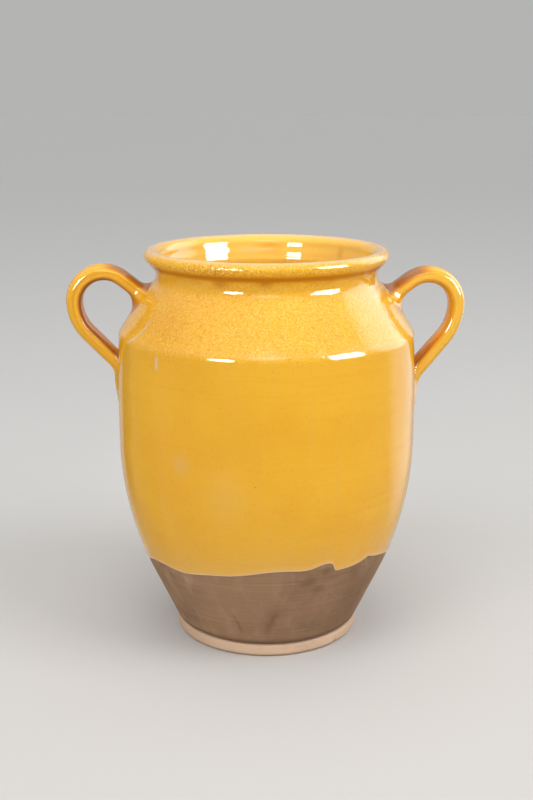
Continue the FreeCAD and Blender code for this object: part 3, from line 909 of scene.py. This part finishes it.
class CONFITPOT_OT_glaze(bpy.types.Operator):
    """Make the glaze coat, from the dip line over the lip and down inside"""
    bl_idname = "confitpot.glaze"
    bl_label = "Glaze coat"

    def execute(self, context):
        thrown = context.scene.thrown
        angles = round_angles()
        dip = dip_line(angles, context.scene.glaze)
        outs, ups, shown = self.rows(thrown, context.scene.glaze, dip)
        outs = outs + np.where(outs > ON_AXIS, wavering(angles, ups, thrown), 0.0)
        drip = self.drip(angles, ups) * (outs > thrown.belly_radius - DRIP_INSET)
        outs = outs + DRIP_RELIEF * drip
        looks = self.looks(thrown, ups, angles, dip, shown)
        # The drip's painted highlight
        looks["thinned_and_lit"] = looks["thinned_and_lit"] + DRIP_GLINT * drip
        points = turned_points(outs, ups, angles)
        piece = surface_object("glaze_coat", points, turned_faces(len(outs), COLUMNS, True), looks)

        # The back's first row lies on the axis, and becomes one point
        builder = bmesh.new()
        builder.from_mesh(piece.data)
        middle = [vertex for vertex in builder.verts if vertex.co.xy.length < ON_AXIS]
        bmesh.ops.remove_doubles(builder, verts=middle, dist=ON_AXIS)
        builder.to_mesh(piece.data)
        builder.free()
        finished(piece, "honey_glaze")
        return {"FINISHED"}

    def rows(self, thrown, glaze, dip):
        """Outs and ups of the coat's rows, and how many of them show; the rest are its hidden back."""
        outer = np.array(finely(outside_line(thrown), 1.4 * MM))
        inner = np.array(finely(inside_line(thrown), 2.0 * MM)[1:])
        fixed = glaze.dip_height + SLIDING_REACH
        lower = outer[outer[:, 1] <= fixed]
        upper = outer[outer[:, 1] > fixed + SLIDING_GAP]
        full = np.vstack([lower, upper, inner])

        def sliding(parts):
            return dip[None, :] + (fixed - dip[None, :]) * parts[:, None]

        def wall_out(ups):
            return np.interp(ups, outer[:, 1], outer[:, 0])

        low_up = sliding(np.linspace(0.0, 1.0, SLIDING_ROWS) ** SLIDING_CROWD)
        edge = np.exp(-((low_up - dip[None, :]) / glaze.roll_height) ** 2)
        low_out = wall_out(low_up) + glaze.roll * edge
        rest_out, rest_up = round_rows(full[len(lower):])

        # The hidden side of the coat, back up from the floor to the dip line
        back = (full - BACK_DEPTH * glaze.coat * line_normals(full))[len(lower):][::-4]
        back[0] = (0.0, thrown.floor_top - glaze.coat)
        back_out, back_up = round_rows(back)
        last_up = sliding(BACK_ROWS)
        last_out = wall_out(last_up) - BACK_DEPTH * glaze.coat
        under_up = dip[None, :] - EDGE_DROP
        under_out = wall_out(under_up) - EDGE_TUCK
        outs = np.vstack([low_out, rest_out, back_out, last_out, under_out])
        ups = np.vstack([low_up, rest_up, back_up, last_up, under_up])
        return outs, ups, len(low_up) + len(rest_up)

    def drip(self, angles, ups):
        """A drip that ran down below the shoulder's edge."""
        line = np.exp(-(degrees_past(angles, DRIP_HEADING) / DRIP_WIDTH) ** 2)
        fades = [smooth(*fade, ups) for fade in DRIP_FADES]
        return line * (fades[0] * fades[1]) + marks(angles, ups, [DRIP_BEAD])

    def smear_glints(self, angles, ups):
        """The pale edges of the smeared clay."""
        pale = sum(stroke(angles, ups, *ends, GLINT_WIDTH) for line in SMEAR_GLINTS for ends in zip(line, line[1:]))
        return GLINT_STRENGTH * np.minimum(pale, 1.0)

    def looks(self, thrown, ups, angles, dip, shown):
        """Where the glaze pools, thins and pebbles, and where it is paler inside the mouth."""
        crest_row = int(np.argmax(ups[:shown, 0]))
        outside = np.zeros_like(ups)
        outside[:crest_row] = 1.0
        inside = 1.0 - outside

        # Amber band under the lip: glaze pooled there, and painted shade under the lip's roll, past 1 a
        # painted brown shade
        lip_shade_and_pool = band(ups, thrown.height - 9.9 * MM, 1.7 * MM)
        pooled_and_shade = outside * (1.5 * lip_shade_and_pool + marks(angles, ups, POOLED_OUTSIDE))
        pooled_and_shade = np.clip(pooled_and_shade + inside * marks(angles, ups, POOLED_INSIDE), 0.0, 1.3)

        crest = band(ups, thrown.height, 1.2 * MM)
        edge_up = thrown.height - thrown.shoulder_drop + 0.5 * thrown.shoulder_edge
        shoulder = band(ups, edge_up, 1.6 * MM)
        over_line = np.maximum(ups - dip[None, :], 0.0)
        line = band(over_line, 0.0, 0.7 * MM)
        greyed = np.exp(-over_line / (9.0 * MM)) * (0.22 + 0.12 * np.cos(angles - math.radians(-112.0)))
        greyed = greyed + 0.06 * np.exp(-over_line / (40.0 * MM))
        # Thin glaze over the shoulder's edge and the dip line, greying above the line, and the painted
        # highlights of the smeared clay
        thinned_and_lit = 0.12 * shoulder + 1.6 * line + greyed + self.smear_glints(angles, ups)
        thinned_and_lit = thinned_and_lit + marks(angles, ups, THINNED_OUTSIDE)
        # Painted light: paler glaze in the throat
        throat = 0.08 * smooth(236.0 * MM, 243.0 * MM, ups)
        thinned_and_lit = outside * thinned_and_lit + 0.9 * crest + inside * (throat + marks(angles, ups, THINNED_INSIDE))

        above = smooth(edge_up - 8.0 * MM, edge_up + 4.0 * MM, ups)
        neck = band(ups, 243.0 * MM, 5.0 * MM)
        pebbled = 0.12 + outside * (0.88 * above * (1.0 - 0.5 * neck) + marks(angles, ups, PEBBLED_OUTSIDE))
        mouth = inside * smooth(234.0 * MM, 242.0 * MM, ups)
        streaked_and_lit = -1.1 * mouth * (1.0 - mark(angles, ups, *STREAK_GAP))
        return {"pooled_and_shade": pooled_and_shade, "thinned_and_lit": thinned_and_lit, "pebbled": pebbled, "streaked_and_lit": streaked_and_lit}


def bend(place, radius, turn, step):
    """Places (out, up, heading) round a bend after a place; a positive turn is to the left."""
    out, up, heading = place
    side = math.copysign(1.0, turn)
    centre = (out - side * radius * math.sin(heading), up + side * radius * math.cos(heading))
    count = max(2, math.ceil(abs(turn) * radius / step))
    places = []
    for k in range(1, count + 1):
        there = heading + turn * k / count
        places.append((centre[0] + side * radius * math.sin(there),
                       centre[1] - side * radius * math.cos(there), there))
    return places


def ahead(place, distance):
    """The place a distance further on along its own heading."""
    out, up, heading = place
    return out + distance * math.cos(heading), up + distance * math.sin(heading), heading


def straight(place, distance, step):
    """Places a step or less apart on the straight run after a place."""
    count = max(1, math.ceil(distance / step))
    return [ahead(place, distance * k / count) for k in range(1, count + 1)]


STRAP_STEP = 1.6 * MM


def loop_places(thrown, strap, loop):
    """The strap's centre line from the crown's start to the tail: (place, share of the tail)."""
    out, up = loop.reach - loop.crown, thrown.height - loop.drop
    path = [(out - loop.crown * math.sin(loop.rise), up + loop.crown * math.cos(loop.rise), loop.rise)]
    path += bend(path[-1], loop.crown, -(math.pi / 2 + loop.rise), STRAP_STEP)
    path += bend(path[-1], loop.side, -loop.fall, STRAP_STEP)
    tail_out = thrown.belly_radius - strap.tail_inset
    swing = loop.bend * (1 - math.cos(loop.fall))
    path += straight(path[-1], (path[-1][0] - swing - tail_out) / math.sin(loop.fall), STRAP_STEP)
    path += bend(path[-1], loop.bend, loop.fall, STRAP_STEP)
    tail = straight(path[-1], strap.tail_length, STRAP_STEP)
    return [(place, 0.0) for place in path] + [(place, k / len(tail)) for k, place in enumerate(tail, 1)]


SECTION_POINTS = 60
# Grooves drawn along the strap: place across it and width, as shares of half its width
GROOVES = ((0.42, 0.16), (-0.30, 0.14))
# Their depth on the palm side, as a share of their depth outside
PALM_GROOVE = 0.4


def section_offsets(thickness, width, strap, grooved):
    """Offsets (across, through) round the strap's section."""
    offsets = []
    for k in range(SECTION_POINTS):
        angle = TURN * (k + 0.5) / SECTION_POINTS
        across, through = math.cos(angle), math.sin(angle)
        power = 2 / (strap.outer_fullness if through > 0 else strap.inner_fullness)
        across = math.copysign(abs(across) ** power, across)
        depth = math.copysign(abs(through) ** power, through)
        groove = sum(math.exp(-((across - middle) / reach) ** 2) for middle, reach in GROOVES)
        groove *= strap.groove * grooved if through > 0 else PALM_GROOVE * strap.groove * grooved
        offsets.append((across * width / 2, depth * thickness / 2 - math.copysign(groove, through)))
    return np.array(offsets)


class PotWall:
    """The outside of the pot as a surface that handles are pressed on to."""

    def __init__(self, thrown):
        line = np.array(finely(outside_line(thrown), 1.0 * MM))
        self.starts = line[:-1]
        self.runs = line[1:] - line[:-1]
        self.lengths = (self.runs ** 2).sum(axis=1)

    def nearest(self, points):
        """Signed distance and outward normal of the wall at each point."""
        flat = np.stack([np.hypot(points[:, 0], points[:, 1]), points[:, 2]], axis=1)
        gaps = flat[:, None, :] - self.starts[None, :, :]
        along = np.clip((gaps * self.runs).sum(axis=2) / self.lengths, 0.0, 1.0)
        feet = self.starts + along[:, :, None] * self.runs
        apart = ((flat[:, None, :] - feet) ** 2).sum(axis=2)
        best = apart.argmin(axis=1)
        run = self.runs[best]
        normal = np.stack([run[:, 1], -run[:, 0]], axis=1) / np.sqrt(self.lengths[best])[:, None]
        offset = flat - feet[np.arange(len(flat)), best]
        side = np.sign((offset * normal).sum(axis=1))
        distance = side * np.sqrt(apart.min(axis=1))
        round_ = points[:, :2] / np.maximum(flat[:, :1], 1e-9)
        outward = np.column_stack([round_ * normal[:, :1], normal[:, 1]])
        return distance, outward

    def lifted(self, points, wanted):
        """The points moved square to the wall until they stand the wanted distance off it."""
        for _ in range(3):
            distance, outward = self.nearest(points)
            points = points + outward * (wanted - distance)[:, None]
        return points


# The root's rings: straight ones, ones round the fillet, how far back the wall is looked for and in how many
# halvings, how far the last round ring settles, and how deep the very last one lies under the coat
ROOT_STRAIGHT = 6
ROOT_ROUND = 16
ROOT_REACH = 45 * MM
ROOT_HALVINGS = 28
ROOT_SETTLE = 0.03 * MM
ROOT_SUNK = 0.9 * MM
# How much further in the middle of the root's end cap lies
CAP_SUNK = 2.0 * MM
# The smear beside the tail starts this many rings before it, and reaches this deep
SMEAR_RINGS = 14
SMEAR_DEPTH = 1.0 * MM
# How a strap pulled by hand varies: share of the size, waves in radians over its length, and where they start
UNEVEN_THICKNESS = ((0.025, 9.0, 0.0, 1.0), (-0.02, 17.0, 1.0, 0.0))
UNEVEN_WIDTH = ((0.03, 7.0, 0.0, 2.0),)
UNEVEN_SWAY = ((1.0, 5.0, 0.0, 1.0),)

# Strength of each handle's finish: amber on the palm side, pooled glaze and painted shade, and what the lower
# arm adds to it, the same for the painted shade line along the palm's corner, how high the painted brown
# shade on the root's top starts, how thin the glaze is drawn over the outer face, and how far the streaks
# lean to amber.
# The right handle's larger thinning and its lean to pale honey are painted light.
STRAP_LOOKS = {
    "left": {"palm": 0.90, "palm_low": -0.10, "corner": 1.30, "corner_low": 0.0,
             "shade_start": 0.27, "thin": 0.18, "lit_lean": 0.0},
    "right": {"palm": 0.40, "palm_low": 0.60, "corner": 0.30, "corner_low": 0.50,
              "shade_start": 0.03, "thin": 0.58, "lit_lean": -0.56},
}
# Streaks along the strap: strength, waves round the section and along the strap, and whether the sides differ
STRAP_STREAKS = ((0.45, 7.0, 2.0, 1.0), (0.40, 13.0, -3.0, 0.0), (0.30, 22.0, 5.0, 0.0))


def uneven(part, table, mirror):
    """The sum of slow waves along a strap, at a part of its length."""
    return sum(share * math.sin(waves * part + start + sided * mirror)
               for share, waves, start, sided in table)


class CONFITPOT_OT_handles(bpy.types.Operator):
    """Make the two pulled strap handles with their smeared roots and thumbed tails"""
    bl_idname = "confitpot.handles"
    bl_label = "Handles"

    def execute(self, context):
        scene = context.scene
        wall = PotWall(scene.thrown)
        self.make(scene, wall, "left", scene.left_loop, -1)
        self.make(scene, wall, "right", scene.right_loop, 1)
        return {"FINISHED"}

    def ring(self, strap, place, thickness, width, mirror, grooved, sway):
        """One ring of points round the centre line."""
        out, up, heading = place
        offsets = section_offsets(thickness, width, strap, grooved)
        across, through = offsets[:, 0], offsets[:, 1]
        return np.column_stack([mirror * (out - through * math.sin(heading)), across + sway,
                                up + through * math.cos(heading)])

    def root_rings(self, strap, wall, first, start, mirror):
        """Rings from inside the wall out to the crown's start, with the clay smeared on to the shoulder."""
        heading = start[2]
        back = np.array([-mirror * math.cos(heading), 0.0, -math.sin(heading)])
        middle = np.array([mirror * start[0], 0.0, start[1]])
        offsets = first - middle
        through = offsets @ np.array([-mirror * math.sin(heading), 0.0, math.cos(heading)])
        across = offsets[:, 1]
        bearing = np.arctan2(through, np.abs(across))
        upward = smooth(0.0, 1.0, np.sin(bearing))
        downward = smooth(0.0, 1.0, -np.sin(bearing))
        fillet = (strap.side_fillet + (strap.top_fillet - strap.side_fillet) * upward
                  + (strap.under_fillet - strap.side_fillet) * downward)

        def travel_to(wanted):
            low = np.zeros(len(first))
            high = np.full(len(first), ROOT_REACH)
            for _ in range(ROOT_HALVINGS):
                half = (low + high) / 2
                distance, _ = wall.nearest(first + back * half[:, None])
                nearer = distance > wanted
                low = np.where(nearer, half, low)
                high = np.where(nearer, high, half)
            return (low + high) / 2

        at_fillet = travel_to(fillet)
        rings = [first + back * (at_fillet * k / ROOT_STRAIGHT)[:, None] for k in range(1, ROOT_STRAIGHT + 1)]
        for k in range(1, ROOT_ROUND + 1):
            angle = math.pi / 2 * k / ROOT_ROUND
            wanted = fillet * (1 - math.sin(angle))
            sideways = fillet * (1 - math.cos(angle))
            points = first + back * travel_to(wanted)[:, None]
            outward = wall.nearest(points)[1]
            core = middle + back * ((points - middle) @ back)[:, None]
            away = points - core
            away -= outward * (away * outward).sum(axis=1)[:, None]
            away /= np.maximum(np.linalg.norm(away, axis=1), 1e-9)[:, None]
            wanted = wanted - ROOT_SETTLE * k / ROOT_ROUND
            rings.append(wall.lifted(points + away * sideways[:, None], wanted))
        rings.append(wall.lifted(rings[-1], np.full(len(first), -ROOT_SUNK)))
        return rings[::-1]

    def loop_rings(self, strap, loop, places, mirror):
        """Rings from the crown's start to the tail's tip, each a little uneven."""
        rings = []
        for k, (place, tail) in enumerate(places):
            part = k / len(places)
            thickness = strap.thickness * (1 + uneven(part, UNEVEN_THICKNESS, mirror))
            width = strap.width * (1 + uneven(part, UNEVEN_WIDTH, mirror))
            eased = tail * tail * (3 - 2 * tail)
            thickness += (strap.tail_thickness - thickness) * eased
            width += (strap.tail_width - width) * eased
            sway = loop.sway * uneven(part, UNEVEN_SWAY, mirror)
            grooved = min(1.0, 6 * part) * (1 - tail)
            rings.append(self.ring(strap, place, thickness, width, mirror, grooved, sway))
        return rings

    def make(self, scene, wall, side, loop, mirror):
        """One handle as a closed strap."""
        strap = scene.strap
        places = loop_places(scene.thrown, strap, loop)
        rings = self.loop_rings(strap, loop, places, mirror)
        root = self.root_rings(strap, wall, rings[0], places[0][0], mirror)
        points = np.vstack(root + rings)
        count = len(root) + len(rings)

        # Clay smeared beside the tail
        distance = wall.nearest(points)[0]
        tail_start = len(root) + sum(tail == 0.0 for _, tail in places)
        low = np.arange(len(points)) > (tail_start - SMEAR_RINGS) * SECTION_POINTS
        fillet = strap.tail_fillet
        close = low & (distance < fillet) & (distance > -SMEAR_DEPTH)
        part = np.clip(distance / fillet, 0.0, 1.0)
        spread = fillet * (1 - np.sqrt(np.maximum(1 - (1 - part) ** 2, 0.0)))
        points[:, 1] += np.where(close, np.sign(points[:, 1]) * spread, 0.0)

        caps = [points[:SECTION_POINTS].mean(axis=0), points[-SECTION_POINTS:].mean(axis=0)]
        caps[0] = caps[0] - CAP_SUNK * np.array([mirror, 0.0, 0.0])
        points = np.vstack([points, caps])
        looks = self.looks(wall.nearest(points)[0], len(root), count, side, mirror)
        piece = surface_object(f"{side}_strap", points, capped_faces(count, SECTION_POINTS), looks)
        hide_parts(f"{side}_handle")
        finished(piece, "honey_glaze")

    def looks(self, distance, root_count, count, side, mirror):
        """Where the glaze pools on the palm side and burns on the root, and the streaks along the strap."""
        level = STRAP_LOOKS[side]
        rows = np.arange(count)[:, None]
        turns = (np.arange(SECTION_POINTS)[None, :] + 0.5) * TURN / SECTION_POINTS
        along = np.clip((rows - root_count) / (count - root_count), 0.0, 1.0)
        through = np.sin(turns)
        low_arm = smooth(0.45, 0.62, along)
        # Amber on the palm side: pooled glaze and painted shade
        palm = smooth(0.0, -0.75, through) * (level["palm"] + level["palm_low"] * low_arm)
        # Painted shade line along the palm's corner
        corner = band(through, -0.64, 0.17) * smooth(0.0, 0.10, along)
        corner = corner * (level["corner"] + level["corner_low"] * low_arm)
        shade_start = level["shade_start"]
        # Painted brown shade on the top of the root
        shade_brown = smooth(shade_start, shade_start + 0.5, through) * smooth(0.12, 0.04, along) * (rows > 4)
        # Painted shade in the crotch of the loop
        crotch = smooth(0.35, 0.85, -through) * smooth(0.70, 0.80, along) * smooth(0.95, 0.85, along)
        # Glaze thinned over the outer face; the right handle's larger share is painted light
        outer_face = smooth(0.35, 0.95, through) * smooth(0.10, 0.25, along) * smooth(0.75, 0.45, along)
        # Streaks along the strap, with the right handle's lean to pale honey as painted light
        streaked_and_lit = level["lit_lean"] + sum(strength * np.sin(around * turns + waves * along + sided * mirror)
                                         for strength, around, waves, sided in STRAP_STREAKS)
        grids = {"pooled_and_shade": palm + corner + 1.5 * shade_brown + 1.8 * crotch,
                 "thinned_and_lit": level["thin"] * outer_face, "streaked_and_lit": streaked_and_lit}
        looks = {name: np.append(grid.ravel(), [0.0, 0.0]) for name, grid in grids.items()}
        # Pooled glaze and painted shade where the handle meets the wall
        looks["pooled_and_shade"] = looks["pooled_and_shade"] + 0.25 * smooth(4 * MM, 0.0, distance)
        looks["pebbled"] = np.full(len(distance), 0.12)
        return looks


# Walls of the room that the glaze mirrors: azimuth and elevation of the middle, how far from it each starts
# and ends to fade, all in degrees, and its light
PALE_WALLS = (
    (-122.0, -20.0, 16.0, 34.0, 0.30),
    (-138.0, -14.0, 5.0, 13.0, 0.12),
    (-157.0, -12.0, 7.0, 13.0, 0.5),
    (-146.0, 14.0, 8.0, 20.0, 0.6),
    (130.0, -2.0, 16.0, 29.0, 1.3),
    (118.0, 21.0, 17.0, 31.0, 3.5),
    (0.0, 38.0, 5.0, 18.0, 3.4),
)
# The room's light below and above, and the share of straight up between which it changes
ROOM_LIGHT = (0.52, 1.1)
ROOM_CHANGE = (0.35, 0.85)
AIR_LIGHT = 0.74
# Lamps: azimuth and elevation in degrees, distance and size in metres, radiance, whether the glaze shows them
LAMPS = {
    "right_window": (63.0, 19.0, 1.5, (0.76, 0.78), 22.0, True),
    "left_window": (-33.5, 13.0, 1.6, (0.46, 0.42), 34.0, True),
    "right_fill": (60.0, 45.0, 2.0, (1.0, 1.0), 4.6, False),
    "left_fill": (-42.0, 45.0, 2.0, (1.0, 1.0), 2.35, False),
    "top_fill": (-8.0, 62.0, 2.0, (1.2, 1.2), 1.9, False),
}
LAMP_AIM = Vector((0.0, 0.0, 0.2))
# The lamp that reaches into the mouth: its aim, elevation, distance, the radius it lights, its power and size
MOUTH_AIM = Vector((0.0, 0.075, 0.247))
MOUTH_ELEVATION = math.radians(38.0)
MOUTH_DISTANCE = 1.5
MOUTH_RADIUS = 0.105
MOUTH_POWER = 29.0
MOUTH_LAMP_SIZE = 0.08
FLOOR_RADIUS = 20.0


def direction(azimuth, elevation, stage):
    """The way to a place in the room; azimuth 0 is over the camera and 90 on the right."""
    round_ = math.radians(azimuth) - stage.camera_turn
    high = math.radians(elevation)
    return Vector((math.sin(round_) * math.cos(high), -math.cos(round_) * math.cos(high), math.sin(high)))


class CONFITPOT_OT_stage(bpy.types.Operator):
    """Make the floor, the surroundings, the lamps and the camera"""
    bl_idname = "confitpot.stage"
    bl_label = "Stage"

    def execute(self, context):
        stage = context.scene.stage_settings
        self.floor(stage)
        self.surroundings(context.scene, stage)
        for name, settings in LAMPS.items():
            self.lamp(name, stage, *settings)
        self.mouth_lamp()
        self.camera(context.scene, stage)
        context.scene.view_settings.view_transform = "Standard"
        return {"FINISHED"}

    def floor(self, stage):
        """A plain pale floor. The glaze mirrors the room through it."""
        mesh = bpy.data.meshes.new("floor")
        builder = bmesh.new()
        bmesh.ops.create_circle(builder, cap_ends=True, segments=96, radius=FLOOR_RADIUS)
        builder.to_mesh(mesh)
        builder.free()
        floor = added("floor", mesh)
        material = bpy.data.materials.new("floor_paint")
        finish = Shader(material)
        grain = finish.noise(finish.place(), 180.0, 3.0)
        shade = finish.mix(grain * 0.06, stage.floor, (0.5, 0.5, 0.5))
        sockets = {"Base Color": shade, "Roughness": 0.8, "Specular IOR Level": 0.2}
        paint = finish.node("ShaderNodeBsdfPrincipled", sockets=sockets)
        clear = finish.node("ShaderNodeBsdfTransparent")
        glossy = finish.node("ShaderNodeLightPath", output="Is Glossy Ray")
        shown = finish.either(glossy, paint, clear)
        finish.node("ShaderNodeOutputMaterial", sockets={"Surface": shown})
        mesh.materials.append(material)

    def surroundings(self, scene, stage):
        """Pale air all round for an even light. The glaze mirrors a room with soft pale walls instead."""
        scene.world = bpy.data.worlds.new("surroundings")
        air = Shader(scene.world)
        glossy = air.node("ShaderNodeLightPath", output="Is Glossy Ray")
        camera = air.node("ShaderNodeLightPath", output="Is Camera Ray")
        away = air.node("ShaderNodeTexCoord")
        up = air.parts(away)[2]
        low, high = (air.glow(stage.room, level) for level in ROOM_LIGHT)
        room = air.either(up.above(*ROOM_CHANGE), low, high)
        for azimuth, elevation, whole, faded, level in PALE_WALLS:
            middle = direction(azimuth, elevation, stage)
            toward = air.node("ShaderNodeVectorMath", {"operation": "DOT_PRODUCT"}, {0: away, 1: middle}, 1)
            share = toward.above(math.cos(math.radians(faded)), math.cos(math.radians(whole)))
            room = air.either(share, room, air.glow(stage.room, level))
        light = air.either(glossy, air.glow(stage.air_light, AIR_LIGHT), room)
        seen = air.either(camera, light, air.glow(stage.air, 1.0))
        air.node("ShaderNodeOutputWorld", sockets={"Surface": seen})

    def place(self, data, aim, away, distance):
        """The lamp as an object, at a distance from its aim."""
        lamp = added(data.name, data)
        lamp.location = aim + away * distance
        lamp.rotation_euler = (-away).to_track_quat("-Z", "Y").to_euler()
        return lamp

    def lamp(self, name, stage, azimuth, elevation, distance, size, radiance, reflected):
        """A rectangular lamp aimed at the shoulder, either mirrored in the glaze or lighting its colour."""
        data = bpy.data.lights.new(name, "AREA")
        data.shape = "RECTANGLE"
        data.size, data.size_y = size
        data.energy = radiance * math.pi * size[0] * size[1]
        lamp = self.place(data, LAMP_AIM, direction(azimuth, elevation, stage), distance)
        lamp.visible_diffuse = not reflected
        lamp.visible_glossy = reflected

    def mouth_lamp(self):
        """A small soft lamp over the camera that reaches down into the mouth."""
        data = bpy.data.lights.new("mouth_lamp", "SPOT")
        data.energy = MOUTH_POWER
        data.shadow_soft_size = MOUTH_LAMP_SIZE
        data.spot_size = 2 * math.atan(MOUTH_RADIUS / MOUTH_DISTANCE)
        data.spot_blend = 0.7
        away = Vector((0.0, -math.cos(MOUTH_ELEVATION), math.sin(MOUTH_ELEVATION)))
        self.place(data, MOUTH_AIM, away, MOUTH_DISTANCE).visible_glossy = False

    def camera(self, scene, stage):
        """The photograph's viewpoint."""
        data = bpy.data.cameras.new("camera")
        data.lens = stage.lens
        data.sensor_width = 36.0
        data.sensor_fit = "AUTO"
        data.clip_end = 50.0
        camera = added("camera", data)
        turn = stage.camera_turn
        camera.location = (-stage.camera_distance * math.sin(turn), -stage.camera_distance * math.cos(turn),
                           stage.camera_height)
        camera.rotation_euler = Euler((math.pi / 2 - stage.camera_pitch, 0.0, -turn))
        scene.camera = camera


OPERATORS = (CONFITPOT_OT_clay, CONFITPOT_OT_slip, CONFITPOT_OT_glaze, CONFITPOT_OT_handles,
             CONFITPOT_OT_stage)


class CONFITPOT_PT_panel(bpy.types.Panel):
    """The pot's pieces and its stage, then every size and colour"""
    bl_idname = "CONFITPOT_PT_panel"
    bl_label = "Confit Pot"
    bl_space_type = "VIEW_3D"
    bl_region_type = "UI"
    bl_category = "Confit Pot"

    def draw(self, context):
        for operator in OPERATORS:
            self.layout.operator(operator.bl_idname)
        for name, group in GROUPS.items():
            box = self.layout.box()
            box.label(text=name.replace("_", " ").capitalize())
            for key in group.__annotations__:
                box.prop(getattr(context.scene, name), key)


def register():
    """Adds the property groups, operators and panel."""
    for name, group in GROUPS.items():
        bpy.utils.register_class(group)
        setattr(bpy.types.Scene, name, bpy.props.PointerProperty(type=group))
    for operator in OPERATORS:
        bpy.utils.register_class(operator)
    bpy.utils.register_class(CONFITPOT_PT_panel)


def unregister():
    """Takes them away again."""
    bpy.utils.unregister_class(CONFITPOT_PT_panel)
    for operator in reversed(OPERATORS):
        bpy.utils.unregister_class(operator)
    for name, group in GROUPS.items():
        delattr(bpy.types.Scene, name)
        bpy.utils.unregister_class(group)


def main():
    """Builds the pot and its stage, and writes both boxes."""
    register()
    bpy.ops.confitpot.clay()
    bpy.ops.confitpot.slip()
    bpy.ops.confitpot.glaze()
    bpy.ops.confitpot.handles()
    bpy.ops.confitpot.stage()


if __name__ == "__main__":
    main()
